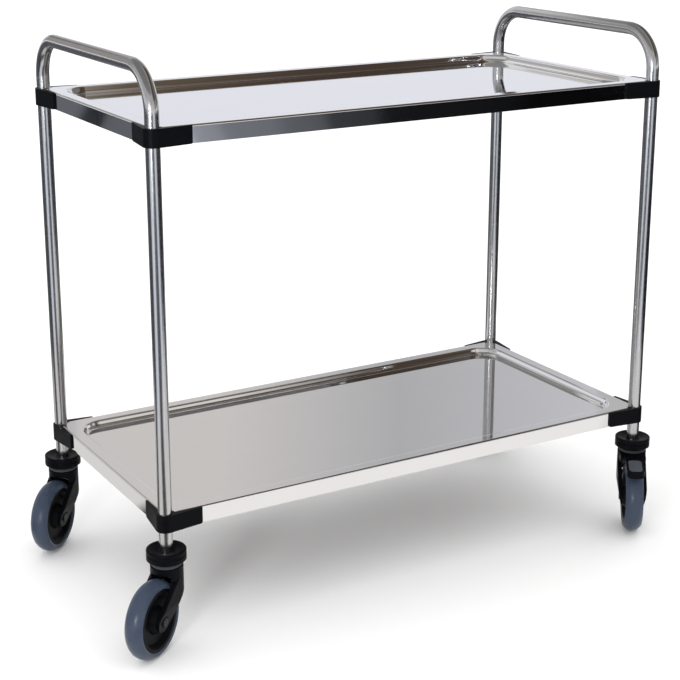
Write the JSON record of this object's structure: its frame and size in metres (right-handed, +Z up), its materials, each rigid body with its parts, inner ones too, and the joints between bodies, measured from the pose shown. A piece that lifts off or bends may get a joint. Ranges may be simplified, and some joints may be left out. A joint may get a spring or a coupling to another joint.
{
  "type": "two-tier serving trolley",
  "caption": "Steel serving trolley with sunk polished shelves between bent-tube end frames, black corner connectors, bumper discs and swivel castors with brake pedals.",
  "frame": {"origin": "on the floor, midway between the four posts", "axes": "+Z up, +X along the shelves towards the end with the brakes, -Y towards the front long side"},
  "size_m": [1.0655, 0.5746, 0.915],
  "materials": {
    "polished_tube": "satin stainless steel tube",
    "polished_sheet": "mirror-polished stainless steel sheet",
    "sound_mat": "matt bitumen-like mat",
    "black_plastic": "black moulded nylon",
    "grey_plastic": "dark grey moulded plastic",
    "grey_tyre": "blue-grey thermoplastic rubber",
    "plated_steel": "zinc-plated steel",
    "blackened_steel": "blackened steel bolt and nut"
  },
  "bodies": {
    "frame": {"left_end_frame": "polished_tube", "right_end_frame": "polished_tube", "upper_shelf": "polished_sheet", "lower_shelf": "polished_sheet", "upper_sound_mat": "sound_mat", "lower_sound_mat": "sound_mat", "upper_front_left_connector": "black_plastic", "upper_front_right_connector": "black_plastic", "upper_rear_right_connector": "black_plastic", "upper_rear_left_connector": "black_plastic", "lower_front_left_connector": "black_plastic", "lower_front_right_connector": "black_plastic", "lower_rear_right_connector": "black_plastic", "lower_rear_left_connector": "black_plastic", "connector_screws": "plated_steel", "post_clamp_screws": "plated_steel", "stem_expanders": "black_plastic", "front_left_bumper_disc": "black_plastic", "front_left_castor_stem": "plated_steel", "front_right_bumper_disc": "black_plastic", "front_right_castor_stem": "plated_steel", "rear_right_bumper_disc": "black_plastic", "rear_right_castor_stem": "plated_steel", "rear_left_bumper_disc": "black_plastic", "rear_left_castor_stem": "plated_steel"},
    "front_left_castor": {"front_left_fork": "black_plastic", "front_left_dust_ring": "grey_plastic", "front_left_swivel_bearing": "plated_steel", "front_left_axle": "blackened_steel"},
    "front_left_wheel": {"front_left_wheel_centre": "black_plastic", "front_left_tyre": "grey_tyre", "front_left_wheel_bearings": "plated_steel"},
    "front_right_castor": {"front_right_fork": "black_plastic", "front_right_dust_ring": "grey_plastic", "front_right_swivel_bearing": "plated_steel", "front_right_axle": "blackened_steel", "front_right_pedal_pin": "plated_steel"},
    "front_right_wheel": {"front_right_wheel_centre": "black_plastic", "front_right_tyre": "grey_tyre", "front_right_wheel_bearings": "plated_steel"},
    "front_right_brake": {"front_right_brake_pedal": "black_plastic", "front_right_pedal_pad": "grey_plastic"},
    "rear_right_castor": {"rear_right_fork": "black_plastic", "rear_right_dust_ring": "grey_plastic", "rear_right_swivel_bearing": "plated_steel", "rear_right_axle": "blackened_steel", "rear_right_pedal_pin": "plated_steel"},
    "rear_right_wheel": {"rear_right_wheel_centre": "black_plastic", "rear_right_tyre": "grey_tyre", "rear_right_wheel_bearings": "plated_steel"},
    "rear_right_brake": {"rear_right_brake_pedal": "black_plastic", "rear_right_pedal_pad": "grey_plastic"},
    "rear_left_castor": {"rear_left_fork": "black_plastic", "rear_left_dust_ring": "grey_plastic", "rear_left_swivel_bearing": "plated_steel", "rear_left_axle": "blackened_steel"},
    "rear_left_wheel": {"rear_left_wheel_centre": "black_plastic", "rear_left_tyre": "grey_tyre", "rear_left_wheel_bearings": "plated_steel"}
  },
  "joints": [
    {"name": "front_left_swivel", "type": "hinge", "parent": "frame", "child": "front_left_castor", "pos_m": [-0.47, -0.225, 0.14], "axis": [0, 0, 1], "continuous": true},
    {"name": "front_left_wheel_spin", "type": "hinge", "parent": "front_left_castor", "child": "front_left_wheel", "pos_m": [-0.50932, -0.25253, 0.0625], "axis": [0.5736, -0.8192, 0], "continuous": true},
    {"name": "front_right_swivel", "type": "hinge", "parent": "frame", "child": "front_right_castor", "pos_m": [0.47, -0.225, 0.14], "axis": [0, 0, 1], "continuous": true},
    {"name": "front_right_wheel_spin", "type": "hinge", "parent": "front_right_castor", "child": "front_right_wheel", "pos_m": [0.44179, -0.26383, 0.0625], "axis": [0.809, -0.5878, 0], "continuous": true},
    {"name": "front_right_brake_press", "type": "hinge", "parent": "front_right_castor", "child": "front_right_brake", "pos_m": [0.45178, -0.25008, 0.129], "axis": [0.809, -0.5878, 0], "range_deg": [0, 10]},
    {"name": "rear_right_swivel", "type": "hinge", "parent": "frame", "child": "rear_right_castor", "pos_m": [0.47, 0.225, 0.14], "axis": [0, 0, 1], "continuous": true},
    {"name": "rear_right_wheel_spin", "type": "hinge", "parent": "rear_right_castor", "child": "rear_right_wheel", "pos_m": [0.43606, 0.19106, 0.0625], "axis": [0.7071, -0.7071, 0], "continuous": true},
    {"name": "rear_right_brake_press", "type": "hinge", "parent": "rear_right_castor", "child": "rear_right_brake", "pos_m": [0.44808, 0.20308, 0.129], "axis": [0.7071, -0.7071, 0], "range_deg": [0, 10]},
    {"name": "rear_left_swivel", "type": "hinge", "parent": "frame", "child": "rear_left_castor", "pos_m": [-0.47, 0.225, 0.14], "axis": [0, 0, 1], "continuous": true},
    {"name": "rear_left_wheel_spin", "type": "hinge", "parent": "rear_left_castor", "child": "rear_left_wheel", "pos_m": [-0.50511, 0.19226, 0.0625], "axis": [0.682, -0.7314, 0], "continuous": true}
  ]
}
